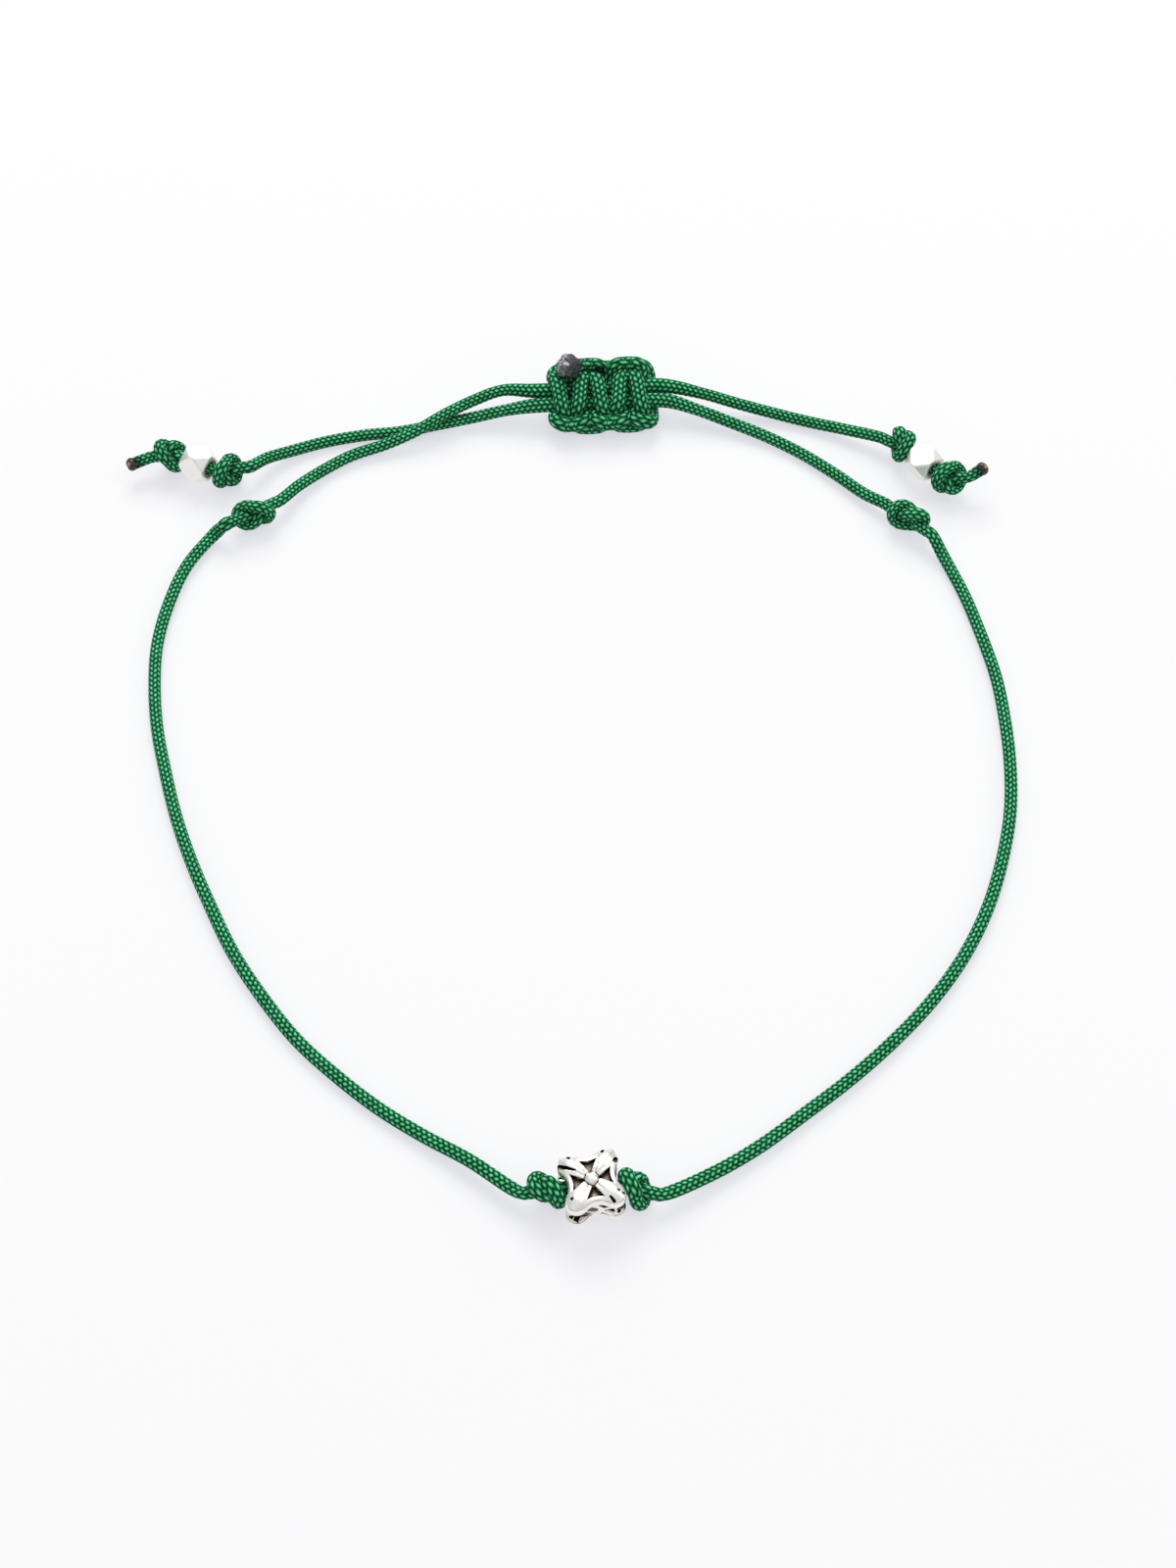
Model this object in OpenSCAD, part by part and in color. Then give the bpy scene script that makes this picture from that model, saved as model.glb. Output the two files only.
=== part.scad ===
// Adjustable cord bracelet, lying flat: a braided cord loop with a flower charm,
// stop knots, beaded tails and a sliding knot. Millimetres, +Z up, the surface is z = 0.

/* [Cord] */
// Diameter of the braided cord
cord_d = 1; // [0.95:0.01:1]

/* [Knots] */
// Size of a stop knot, as a share of one tied loosely in the same cord
knot_tightness = 0.88; // [0.84:0.01:0.9]
// Number of half knots in the sliding knot
half_knots = 5; // [3:2:5]
// Width of the sliding knot, as a share of one tied loosely in the same cord
sliding_width = 1.04; // [1:0.01:1.06]
// Diameter of the melted end that stands on the sliding knot
burnt_end_d = 1.8; // [1.2:0.1:1.8]

/* [Charm] */
// Distance from the centre to the middle of a lobe
lobe_reach = 1.85; // [1.7:0.05:2]
// Radius of a lobe
lobe_r = 0.8; // [0.7:0.05:0.9]
// Width between two opposite hollow sides
waist_w = 3.3; // [3.1:0.1:3.4]
// Thickness over the two faces, without the balls
charm_h = 3.8; // [3.6:0.1:4]
// Thickness of each pierced face
face_h = 1.05; // [0.9:0.05:1.1]
// Depth of the dark recesses in a face
recess_depth = 0.5; // [0.3:0.05:0.6]
// Diameter of the ball in the middle of a face
ball_d = 1; // [0.8:0.05:1.1]
// Turn of the flower about the vertical
charm_turn = 12; // [0:1:20]

/* [Tail beads] */
// Side of the cube that a tail bead is cut from
bead_side = 2.4; // [2.2:0.1:2.5]
// Width across two opposite cut corners
bead_corners = 2.95; // [2.8:0.05:3.1]

/* [Hidden] */

// Colours
cord_green = "#0f5a3c";
melted_brown = "#3a2a22";
burnt_grey = "#4b4a4a";
silver = "#d9d7d2";

// A piece of cord is drawn this much thinner than the cord, so that pieces only just clear each other
clearance = 0.04;
cord_r = (cord_d - clearance) / 2;
// Gap left between two pieces that meet end to end
joint_gap = 0.03;
// Gap between the rims of the charm or a tail bead and their knots
charm_gap = 0.06;
bead_gap = 0.16;
// Sides of a swept cord
cord_sides = 8;

// Overhand knot: the second half of its route in loose cord diameters, from the middle outwards.
// The first half is the same, turned half round. Columns: along the cord, up, across
OVERHAND = [
    [0.00, 0.75, 0.00],
    [-0.45, 0.75, 0.55],
    [-1.05, 0.35, 0.90],
    [-1.30, -0.35, 0.95],
    [-1.25, -0.95, 0.55],
    [-0.90, -1.25, 0.00],
    [-0.25, -1.05, -0.45],
    [0.20, -0.55, -0.55],
    [0.65, -0.20, -0.10],
    [1.20, 0.00, 0.02],
    [1.55, 0.00, 0.00]
];
// Where the cord leaves the knot, and how far on it runs straight before it may bend
knot_reach = 2;
lead = 0.5;

// Sliding knot: from its turn at one side to the middle of its bar over the two cords, in loose
// cord diameters. Columns: along the knot, across, up
HALF_BAR = [
    [0.90, -2.45, -0.50],
    [1.25, -2.45, -0.45],
    [1.85, -2.35, -0.55],
    [2.20, -2.05, -0.35],
    [2.25, -1.55, 0.00],
    [2.20, -1.45, 0.50],
    [1.95, -1.00, 0.95],
    [1.80, 0.00, 1.05]
];
half_knot_step = HALF_BAR[len(HALF_BAR) - 1][0];

// Where each piece sits. Columns: centre x, y, z, heading in the plane, climb, roll about the cord,
// and for a knot the hand it is tied with, 1 or -1
STOP_LEFT = [-24.8, 22.9, 1.65, 215, 6, 100, -1];
STOP_RIGHT = [28.9, 22.5, 1.3, -46, 6, 260, -1];
CHARM = [2.9, -36.0, charm_h / 2, 1, 0, 0];
SLIDING = [3.7, 35.2, 2.0, 3, 0, 25];
INNER_LEFT = [-27.3, 27.3, 1.8, 190, 2, 100, 1];
INNER_RIGHT = [28.8, 30.0, 1.5, -38, 6, 240, 1];
// Pieces that follow on along the cord. Columns: heading, climb, roll, hand
CHARM_KNOT_TURNS = [[2, 13, 285, 1], [-6, -12, 145, -1]];
LEFT_TAIL_TURNS = [[151, 0, 20], [176, -3, 10, -1]];
RIGHT_TAIL_TURNS = [[-51, 4, 20], [-22, 8, 60, 1]];
// Middle of the melted tip of each tail: x, y, z
TIP_LEFT = [-35.3, 28.0, 1.6];
TIP_RIGHT = [35.2, 26.7, 2.6];

// Size of an overhand knot, as shares of a loose one: along the cord, across it, and its cord's thickness.
// A stop knot is pulled longer than a loose one
stop_stretch = 1.15;
STOP_KNOT = [stop_stretch * knot_tightness, knot_tightness, knot_tightness];
SNUG_KNOT = [0.68, 1.04, 0.8];
// How far the loops of a loose knot reach along the cord
loop_reach = 1.3;
// From the middle of a snug knot to its end along the cord
snug_half = SNUG_KNOT[0] * loop_reach * cord_d + SNUG_KNOT[2] * cord_r;
// From its middle to where its cord enters it, and to where the cord runs free
snug_entry = SNUG_KNOT[0] * OVERHAND[len(OVERHAND) - 1][0] * cord_d;
snug_reach = SNUG_KNOT[0] * knot_reach * cord_d;

// Routes of the free stretches. Columns: x, y, height of the cord's middle above the surface
BAND_LEFT = [
    [-27.8, 21.4, 0.9], [-29.9, 18.3, 0.6], [-31.1, 14.3, 0.5], [-31.6, 10.3, 0.5],
    [-31.4, 6.3, 0.5], [-30.8, 2.4, 0.5], [-29.8, -1.5, 0.5], [-28.6, -5.5, 0.5],
    [-27.1, -9.4, 0.5], [-25.3, -13.3, 0.5], [-23.3, -17.2, 0.5], [-20.9, -20.8, 0.5],
    [-18.1, -24.3, 0.5], [-15.1, -27.1, 0.5], [-12.1, -29.5, 0.5], [-8.9, -31.6, 0.6],
    [-5.6, -33.6, 1.0]
];
BAND_RIGHT = [
    [31.6, 19.1, 0.7], [33.0, 15.3, 0.5], [34.0, 11.3, 0.5], [34.8, 7.2, 0.5],
    [35.1, 3.1, 0.5], [35.1, -1.0, 0.5], [34.7, -5.1, 0.5], [33.7, -9.3, 0.5],
    [32.2, -13.5, 0.5], [30.1, -17.5, 0.5], [27.4, -21.2, 0.5], [24.4, -24.4, 0.5],
    [21.2, -27.3, 0.5], [17.9, -29.9, 0.5], [14.5, -32.5, 0.6], [11.1, -34.6, 0.8]
];
// Left stop knot up to the sliding knot, over the other cord
CLOSING_LEFT_RISE = [
    [-21.4, 26.3, 0.9], [-19.5, 28.2, 0.6], [-17.2, 29.8, 0.6], [-14.3, 30.9, 0.8],
    [-11.7, 32.0, 1.3], [-9.4, 33.4, 1.7], [-7.1, 34.8, 1.8], [-4.6, 35.7, 2.1]
];
// Sliding knot to the right-hand tail
CLOSING_LEFT_TAIL = [
    [12.4, 35.7, 1.7], [15.4, 35.1, 1.1], [18.4, 34.4, 0.7], [21.4, 33.5, 0.6],
    [24.4, 32.4, 0.9]
];
// Right stop knot up to the sliding knot
CLOSING_RIGHT_RISE = [
    [25.6, 25.5, 0.8], [23.3, 27.8, 0.6], [20.6, 30.1, 0.5], [17.7, 31.9, 0.6],
    [14.7, 33.2, 0.9], [11.8, 34.2, 1.4]
];
// Sliding knot to the left-hand tail, under the other cord
CLOSING_RIGHT_TAIL = [
    [-4.3, 34.1, 1.4], [-7.2, 33.7, 0.9], [-10.1, 33.2, 0.6], [-13.2, 32.5, 0.5],
    [-16.3, 32.1, 0.5], [-19.4, 31.4, 0.5], [-22.3, 30.2, 0.7], [-24.2, 29.0, 1.2]
];

// The sliding knot's strands, in loose cord diameters from its first turn: where they join under the
// right-hand end, counted from there, and the two melted ends. Columns: along the knot, across, up
STRAND_JOIN = [
    [0.40, 2.00, -0.80],
    [0.60, 1.10, -1.10],
    [0.65, 0.20, -1.15],
    [0.65, -0.80, -1.10],
    [0.60, -1.70, -0.60],
    [0.40, -2.30, 0.00]
];
UPPER_END = [2.70, 2.05, 1.70];
LOWER_END = [1.70, -2.40, -0.50];
// Where the knot begins in that measure, and where its middle is
first_turn = 1.04;
strands_middle = half_knots * half_knot_step / 2 + first_turn;
// The knot is pushed together along the cords, and squeezes its strand
sliding_length = 0.92;
strand_r = 0.85 * cord_r;
lower_end_r = 0.43;

// Half the straight stretch of the two cords inside the sliding knot, and how far each is off its axis
core_half = 5.4;
core_offset = 0.64;

// Charm: a scallop circle hollows each side and meets the lobe circles smoothly
lobe_xy = lobe_reach / sqrt(2);
waist_r = waist_w / 2;
scallop_x = (lobe_reach ^ 2 - (lobe_r - waist_r) ^ 2) / (2 * (lobe_xy + lobe_r - waist_r));
scallop_r = scallop_x - waist_r;
// How far along from a lobe's centre to a scallop's centre the two circles touch
touch_share = lobe_r / (lobe_r + scallop_r);
touch_far = lobe_xy + (scallop_x - lobe_xy) * touch_share;
touch_near = lobe_xy * (1 - touch_share);
// Width of the rim between a hollow side and its recess
rim_w = 0.3;
// The petals stand this much higher than the rims
petal_rise = 0.25;
rim_z = charm_h / 2 - petal_rise;
// Recess between two petals
recess_tip = 0.5;
recess_half_w = 0.75;
// The waist between the two faces: a core, a post under each lobe and a collar round each side hole
waist_core_r = 1.3;
// Its parts reach half way into each face
waist_h = 2 * rim_z - face_h;
post_r = 0.55;
post_inset = 0.1;
collar_r = 0.95;
charm_bore_r = 0.62;
side_hole_r = 0.42;
// Small holes beside the outer end of each petal
piercing_r = 0.13;
piercing_reach = 2.05;
piercing_offset = 0.5;
petal_reach = 1.42;
petal_half = [1.02, 0.5, 0.42];
// Bore of a tail bead, and the radius of a melted tip
bead_bore_r = 0.58;
tip_r = 0.62;
round_fn = 48;

// Point on a smooth curve through p1 and p2, at share t, with neighbours p0 and p3
function curve_point(p0, p1, p2, p3, t) =
    0.5 * (2 * p1 + (p2 - p0) * t + (2 * p0 - 5 * p1 + 4 * p2 - p3) * t ^ 2
    + (3 * p1 - p0 - 3 * p2 + p3) * t ^ 3);

// Smooth curve through all points, with this many steps between two of them
function smooth(points, steps) =
    let (last = len(points) - 1)
    concat(
        [
            for (i = [0:last - 1], k = [0:steps - 1])
                let (before = i > 0 ? points[i - 1] : 2 * points[0] - points[1])
                let (after = i + 2 <= last ? points[i + 2] : 2 * points[last] - points[last - 1])
                curve_point(before, points[i], points[i + 1], after, k / steps)
        ],
        [points[last]]
    );

function unit(v) = v / norm(v);
function reversed(list) = [for (i = [len(list) - 1:-1:0]) list[i]];

// Direction of the route at point i
function heading_at(points, i) =
    unit(points[min(i + 1, len(points) - 1)] - points[max(i - 1, 0)]);

// What is left of a side direction once it is square to the route at point i
function squared(side, points, i) =
    let (d = heading_at(points, i))
    unit(side - d * (side * d));

// A side direction at every point, carried along the route without twisting
function side_directions(points) =
    [
        for (
            i = 0, side = squared([0, 0, 1] + 0.3 * [1, 1, 0], points, 0);
            i < len(points);
            i = i + 1, side = i < len(points) ? squared(side, points, i) : side
        ) side
    ];

// Tube along a route, with its radius at each point
module tube(points, radii) {
    rings = len(points);
    sides = side_directions(points);
    vertices = [
        for (i = [0:rings - 1], k = [0:cord_sides - 1])
            let (d = heading_at(points, i), s = sides[i], a = (k + 0.5) * 360 / cord_sides)
            points[i] + radii[i] * (cos(a) * s + sin(a) * cross(d, s))
    ];
    walls = [
        for (i = [0:rings - 2], k = [0:cord_sides - 1])
            let (a = i * cord_sides + k, b = i * cord_sides + (k + 1) % cord_sides)
            [a, a + cord_sides, b + cord_sides, b]
    ];
    first_cap = [for (k = [0:cord_sides - 1]) k];
    last_cap = [for (k = [cord_sides - 1:-1:0]) (rings - 1) * cord_sides + k];
    polyhedron(vertices, concat(walls, [first_cap, last_cap]));
}

// Tube of the plain cord
module cord(points) {
    color(cord_green) tube(points, [for (p = points) cord_r]);
}

// A point of a piece's own frame, in the bracelet's frame. A seat holds x, y, z, heading, climb, roll
function turned_x(p, a) = [p[0], p[1] * cos(a) - p[2] * sin(a), p[1] * sin(a) + p[2] * cos(a)];
function turned_y(p, a) = [p[0] * cos(a) - p[2] * sin(a), p[1], p[0] * sin(a) + p[2] * cos(a)];
function turned_z(p, a) = [p[0] * cos(a) - p[1] * sin(a), p[0] * sin(a) + p[1] * cos(a), p[2]];
function placed(seat, p) =
    [seat[0], seat[1], seat[2]] + turned_z(turned_y(turned_x(p, seat[5]), seat[4]), seat[3]);

// The same for solids
module seated(seat) {
    translate([seat[0], seat[1], seat[2]])
        rotate([0, 0, seat[3]])
            rotate([0, -seat[4], 0])
                rotate([seat[5], 0, 0])
                    children();
}

// A point on the cord's line beyond the middle of a knot
function beyond(seat, distance) = placed(seat, [distance, 0, 0]);

// First two points of a cord that leaves a knot: side is -1 behind the knot and 1 ahead of it
function leaving(seat, side, size) =
    let (start = knot_reach * cord_d * size[0] + joint_gap)
    [beyond(seat, side * start), beyond(seat, side * (start + lead))];

// Whole route of an overhand knot, up to where its cord runs straight
function overhand_route(seat, size) =
    let (across = size[1] * seat[6])
    let (ahead = [for (p = OVERHAND) cord_d * [p[0] * size[0], p[1] * size[1], p[2] * across]])
    let (behind = [for (p = reversed(ahead)) [-p[0], p[1], -p[2]]])
    let (both = concat(behind, [for (i = [1:len(ahead) - 1]) ahead[i]]))
    [for (p = smooth(both, 2)) placed(seat, p)];

// An overhand knot, with the cord that runs on before and after it.
// Its cord is squeezed inside the knot and has its full size where it leaves
module overhand(seat, size, before, after) {
    knot = overhand_route(seat, size);
    last = len(knot) - 1;
    // The cord gets thinner over the first three rings, and thicker over the last three
    knot_radii = [
        for (i = [0:last])
            cord_r * (1 + (size[2] - 1) * min(1, min(i, last - i) / 3))
    ];
    color(cord_green)
        tube(
            concat(before, knot, after),
            concat([for (p = before) cord_r], knot_radii, [for (p = after) cord_r])
        );
}

// Melted end of a strand: a ball, cut flat where the strand meets it
module melted_end(tip, from, ball_r, strand_r) {
    toward = unit(tip - from);
    tilt = acos(toward[2]);
    turn = atan2(toward[1], toward[0]);
    flat = sqrt(ball_r ^ 2 - strand_r ^ 2);
    translate(tip)
        rotate([0, tilt, turn])
            difference() {
                sphere(r = ball_r, $fn = round_fn);
                translate([-2 * ball_r, -2 * ball_r, -flat - 4 * ball_r])
                    cube(4 * ball_r);
            }
}

// Where the strand of a melted end stops
function strand_stop(tip, from, ball_r, strand_r) =
    tip - unit(tip - from) * (sqrt(ball_r ^ 2 - strand_r ^ 2) + joint_gap);

module band_cord_left() {
    cord(concat(leaving(STOP_LEFT, 1, STOP_KNOT), BAND_LEFT, reversed(leaving(CHARM_LEFT, -1, SNUG_KNOT))));
}

module band_cord_right() {
    cord(concat(leaving(STOP_RIGHT, 1, STOP_KNOT), BAND_RIGHT, reversed(leaving(CHARM_RIGHT, 1, SNUG_KNOT))));
}

module closing_cord_left() {
    cord(concat(
        leaving(STOP_LEFT, -1, STOP_KNOT),
        CLOSING_LEFT_RISE,
        [for (x = [-core_half, 0, core_half]) placed(SLIDING, [x, core_offset, 0])],
        CLOSING_LEFT_TAIL,
        reversed(leaving(INNER_RIGHT, -1, SNUG_KNOT))
    ));
}

module closing_cord_right() {
    cord(concat(
        leaving(STOP_RIGHT, -1, STOP_KNOT),
        CLOSING_RIGHT_RISE,
        [for (x = [core_half, 0, -core_half]) placed(SLIDING, [x, -core_offset, 0])],
        CLOSING_RIGHT_TAIL,
        reversed(leaving(INNER_LEFT, -1, SNUG_KNOT))
    ));
}

// One bar of the sliding knot, from the turn before it to the turn after it
function bar(k) =
    let (up = HALF_BAR)
    let (down = [
        for (i = [len(up) - 2:-1:0]) [2 * half_knot_step - up[i][0], -up[i][1], up[i][2]]
    ])
    [
        for (p = concat(up, down))
            [p[0] + (k - 1) * half_knot_step, (k % 2 == 1 ? 1 : -1) * p[1], p[2]]
    ];

// The strand that crosses over the two cords, from the first bar's rise to the last bar's turning point
bar_points = 2 * len(HALF_BAR) - 1;
first_rise = 3;
over_strand = [
    for (k = [1:half_knots], i = [1:bar_points - 1])
        if ((k > 1 || i >= first_rise) && (k < half_knots || i < bar_points - 1)) bar(k)[i]
];
// Its twin below is the same, turned half round
under_strand = [for (p = over_strand) [p[0], -p[1], -p[2]]];

// A point given in loose cord diameters from the sliding knot's first turn
function in_strands(p) =
    let (q = cord_d * (p - [strands_middle, 0, 0]))
    placed(SLIDING, [q[0] * sliding_length, q[1] * sliding_width, q[2] * sliding_width]);

module sliding_knot() {
    right_end = over_strand[len(over_strand) - 1][0];
    // Under the two cords at the right-hand end, from one strand to the other
    join = [for (p = STRAND_JOIN) [right_end + p[0], p[1], p[2]]];
    route = [
        for (p = smooth(concat(over_strand, join, reversed(under_strand)), 2))
            in_strands(p)
    ];
    upper_stop = strand_stop(in_strands(UPPER_END), in_strands(under_strand[0]), burnt_end_d / 2, strand_r);
    lower_stop = strand_stop(in_strands(LOWER_END), in_strands(over_strand[0]), lower_end_r, strand_r);
    whole = concat([lower_stop], route, [upper_stop]);
    color(cord_green) tube(whole, [for (p = whole) strand_r]);
}

module burnt_end_upper() {
    color(burnt_grey)
        melted_end(in_strands(UPPER_END), in_strands(under_strand[0]), burnt_end_d / 2, strand_r);
}

module burnt_end_lower() {
    color(burnt_grey)
        melted_end(in_strands(LOWER_END), in_strands(over_strand[0]), lower_end_r, strand_r);
}

// Outline of a face: four lobes and four hollow sides
module flower_outline() {
    difference() {
        union() {
            for (i = [0:3])
                rotate(90 * i)
                    translate([lobe_xy, lobe_xy])
                        circle(r = lobe_r, $fn = round_fn);
            polygon([
                for (i = [0:3], side = [-1, 1])
                    [
                        touch_far * cos(90 * i) - side * touch_near * sin(90 * i),
                        touch_far * sin(90 * i) + side * touch_near * cos(90 * i)
                    ]
            ]);
        }
        for (i = [0:3])
            rotate(90 * i)
                translate([scallop_x, 0])
                    circle(r = scallop_r, $fn = round_fn);
    }
}

// Recess between two petals: a triangle whose outer side follows the rim
module recess_outline() {
    difference() {
        polygon([[recess_tip, 0], [waist_r, recess_half_w], [waist_r, -recess_half_w]]);
        translate([scallop_x, 0])
            circle(r = scallop_r + rim_w, $fn = round_fn);
    }
}

// The upper face, with its petals, ball, recesses and piercings
module flower_face() {
    difference() {
        translate([0, 0, rim_z - face_h])
            linear_extrude(face_h)
                flower_outline();
        for (i = [0:3]) {
            rotate([0, 0, 90 * i])
                translate([0, 0, rim_z - recess_depth])
                    linear_extrude(2 * recess_depth)
                        recess_outline();
            for (side = [-1, 1])
                rotate([0, 0, 45 + 90 * i])
                    translate([piercing_reach, side * piercing_offset, rim_z - recess_depth])
                        cylinder(h = 2 * recess_depth, r = piercing_r, $fn = round_fn);
        }
    }
    for (i = [0:3])
        rotate([0, 0, 45 + 90 * i])
            translate([petal_reach, 0, charm_h / 2 - petal_half[2]])
                scale(petal_half)
                    sphere(r = 1, $fn = round_fn);
    translate([0, 0, charm_h / 2 - ball_d / 2])
        sphere(d = ball_d, $fn = round_fn);
}

module charm_bead() {
    color(silver)
        translate([CHARM[0], CHARM[1], CHARM[2]])
            difference() {
                union() {
                    rotate([0, 0, charm_turn]) {
                        flower_face();
                        rotate([180, 0, 0]) flower_face();
                        for (i = [0:3])
                            rotate([0, 0, 45 + 90 * i])
                                translate([lobe_reach - post_inset, 0, 0])
                                    cylinder(h = waist_h, r = post_r, center = true, $fn = round_fn);
                    }
                    cylinder(h = waist_h, r = waist_core_r, center = true, $fn = round_fn);
                    for (i = [0:3])
                        rotate([0, 90, CHARM[3] + 90 * i])
                            cylinder(h = waist_r, r = collar_r, $fn = round_fn);
                }
                rotate([0, 90, CHARM[3]])
                    cylinder(h = 4 * lobe_reach, r = charm_bore_r, center = true, $fn = round_fn);
                for (side = [-90, 90])
                    rotate([0, 90, CHARM[3] + side])
                        translate([0, 0, waist_core_r - recess_depth])
                            cylinder(h = lobe_reach, r = side_hole_r, $fn = round_fn);
            }
}

// Direction with this heading and climb
function direction(heading, climb) = [cos(heading) * cos(climb), sin(heading) * cos(climb), sin(climb)];

// Seat of the next piece along the cord: out of one piece, then into the next in its own direction
function next_seat(seat, out, turns, into) =
    let (p = beyond(seat, out) + into * direction(turns[0], turns[1]))
    concat(p, turns);

// The charm's knots, tight against it. Their cord runs on to the middle of the charm
charm_out = waist_r + charm_gap + snug_half - snug_entry;
CHARM_LEFT = next_seat(CHARM, -charm_out, CHARM_KNOT_TURNS[0], -snug_entry);
CHARM_RIGHT = next_seat(CHARM, charm_out, CHARM_KNOT_TURNS[1], snug_entry);

module charm_knot_left() {
    overhand(
        CHARM_LEFT, SNUG_KNOT,
        before = [beyond(CHARM_LEFT, -snug_reach)],
        after = [beyond(CHARM, -joint_gap / 2)]
    );
}

module charm_knot_right() {
    overhand(
        CHARM_RIGHT, SNUG_KNOT,
        before = [beyond(CHARM, joint_gap / 2)],
        after = [beyond(CHARM_RIGHT, snug_reach)]
    );
}

module stop_knot(seat) {
    end = knot_reach * STOP_KNOT[0] * cord_d;
    overhand(seat, STOP_KNOT, before = [beyond(seat, -end)], after = [beyond(seat, end)]);
}

module stop_knot_left() {
    stop_knot(STOP_LEFT);
}

module stop_knot_right() {
    stop_knot(STOP_RIGHT);
}

// A tail's bead and outer knot follow on from its inner knot
bead_out = bead_side / 2 + bead_gap + snug_half - snug_entry;
function bead_seat(inner, turns) = next_seat(inner, snug_entry, turns[0], bead_out);
function outer_seat(inner, turns) = next_seat(bead_seat(inner, turns), bead_out, turns[1], snug_entry);

// A cube with its eight corners cut, drilled for the cord
module tail_bead(inner, turns) {
    color(silver)
        seated(bead_seat(inner, turns))
            difference() {
                intersection_for (i = [0:3])
                    intersection() {
                        cube(bead_side, center = true);
                        rotate([0, acos(1 / sqrt(3)), 45 + 90 * i])
                            cube([3 * bead_side, 3 * bead_side, bead_corners], center = true);
                    }
                rotate([0, 90, 0])
                    cylinder(h = 2 * bead_side, r = bead_bore_r, center = true, $fn = round_fn);
            }
}

// The cord of each tail knot runs on to the middle of the bead
module tail_knot_inner(inner, turns) {
    overhand(
        inner, SNUG_KNOT,
        before = [beyond(inner, -snug_reach)],
        after = [beyond(bead_seat(inner, turns), -joint_gap / 2)]
    );
}

// The loose end past the outer knot bends here, towards its melted tip
function tail_bend(inner, turns, tip) =
    let (outer = outer_seat(inner, turns), end = beyond(outer, snug_entry))
    end + lead * unit(direction(outer[3], outer[4]) + unit(tip - end));

module tail_knot_outer(inner, turns, tip) {
    bend = tail_bend(inner, turns, tip);
    overhand(
        outer_seat(inner, turns), SNUG_KNOT,
        before = [beyond(bead_seat(inner, turns), joint_gap / 2)],
        after = [bend, strand_stop(tip, bend, tip_r, cord_r)]
    );
}

module tail_tip(inner, turns, tip) {
    color(melted_brown)
        melted_end(tip, tail_bend(inner, turns, tip), tip_r, cord_r);
}

module tail_knot_inner_left() {
    tail_knot_inner(INNER_LEFT, LEFT_TAIL_TURNS);
}

module tail_bead_left() {
    tail_bead(INNER_LEFT, LEFT_TAIL_TURNS);
}

module tail_knot_outer_left() {
    tail_knot_outer(INNER_LEFT, LEFT_TAIL_TURNS, TIP_LEFT);
}

module tail_tip_left() {
    tail_tip(INNER_LEFT, LEFT_TAIL_TURNS, TIP_LEFT);
}

module tail_knot_inner_right() {
    tail_knot_inner(INNER_RIGHT, RIGHT_TAIL_TURNS);
}

module tail_bead_right() {
    tail_bead(INNER_RIGHT, RIGHT_TAIL_TURNS);
}

module tail_knot_outer_right() {
    tail_knot_outer(INNER_RIGHT, RIGHT_TAIL_TURNS, TIP_RIGHT);
}

module tail_tip_right() {
    tail_tip(INNER_RIGHT, RIGHT_TAIL_TURNS, TIP_RIGHT);
}

band_cord_left();
band_cord_right();
closing_cord_left();
closing_cord_right();
charm_bead();
charm_knot_left();
charm_knot_right();
stop_knot_left();
stop_knot_right();
sliding_knot();
burnt_end_upper();
burnt_end_lower();
tail_knot_inner_left();
tail_bead_left();
tail_knot_outer_left();
tail_tip_left();
tail_knot_inner_right();
tail_bead_right();
tail_knot_outer_right();
tail_tip_right();
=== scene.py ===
import math

import bpy
import numpy as np
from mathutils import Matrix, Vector
from mathutils.kdtree import KDTree


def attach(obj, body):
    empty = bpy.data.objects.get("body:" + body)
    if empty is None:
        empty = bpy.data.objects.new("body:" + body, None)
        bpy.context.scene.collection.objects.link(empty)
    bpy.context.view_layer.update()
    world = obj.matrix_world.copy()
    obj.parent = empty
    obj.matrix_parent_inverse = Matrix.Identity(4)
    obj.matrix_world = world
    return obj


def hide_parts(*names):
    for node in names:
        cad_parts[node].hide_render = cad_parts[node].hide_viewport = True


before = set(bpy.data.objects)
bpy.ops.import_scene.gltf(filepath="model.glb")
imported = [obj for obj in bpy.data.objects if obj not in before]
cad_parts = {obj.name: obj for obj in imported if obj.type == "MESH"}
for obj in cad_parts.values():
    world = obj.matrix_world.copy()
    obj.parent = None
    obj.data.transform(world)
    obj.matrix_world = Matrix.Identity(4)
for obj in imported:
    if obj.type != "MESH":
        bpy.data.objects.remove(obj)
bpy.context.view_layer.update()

# Routes and shapes are written in millimetres, as in the part's source. Blender works in metres
MM = 0.001


# ---- Camera ----

def aim(thing, place, target):
    """Puts a camera or a light at a place, looking at the target, both in metres."""
    thing.location = place
    thing.rotation_mode = "QUATERNION"
    thing.rotation_quaternion = (Vector(target) - Vector(place)).to_track_quat("-Z", "Y")
    bpy.context.scene.collection.objects.link(thing)


def make_camera():
    """The photograph's view, from 58 degrees above the floor."""
    data = bpy.data.cameras.new("camera")
    data.lens = 52.265
    data.sensor_width = 36
    data.clip_start, data.clip_end = 0.01, 10
    camera = bpy.data.objects.new("camera", data)
    aim(camera, (0.00265, -0.09491, 0.14812), (0.00265, -0.00235, 0))
    bpy.context.scene.camera = camera
    bpy.context.scene.view_settings.view_transform = "Standard"


make_camera()


# ---- Materials ----

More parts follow.
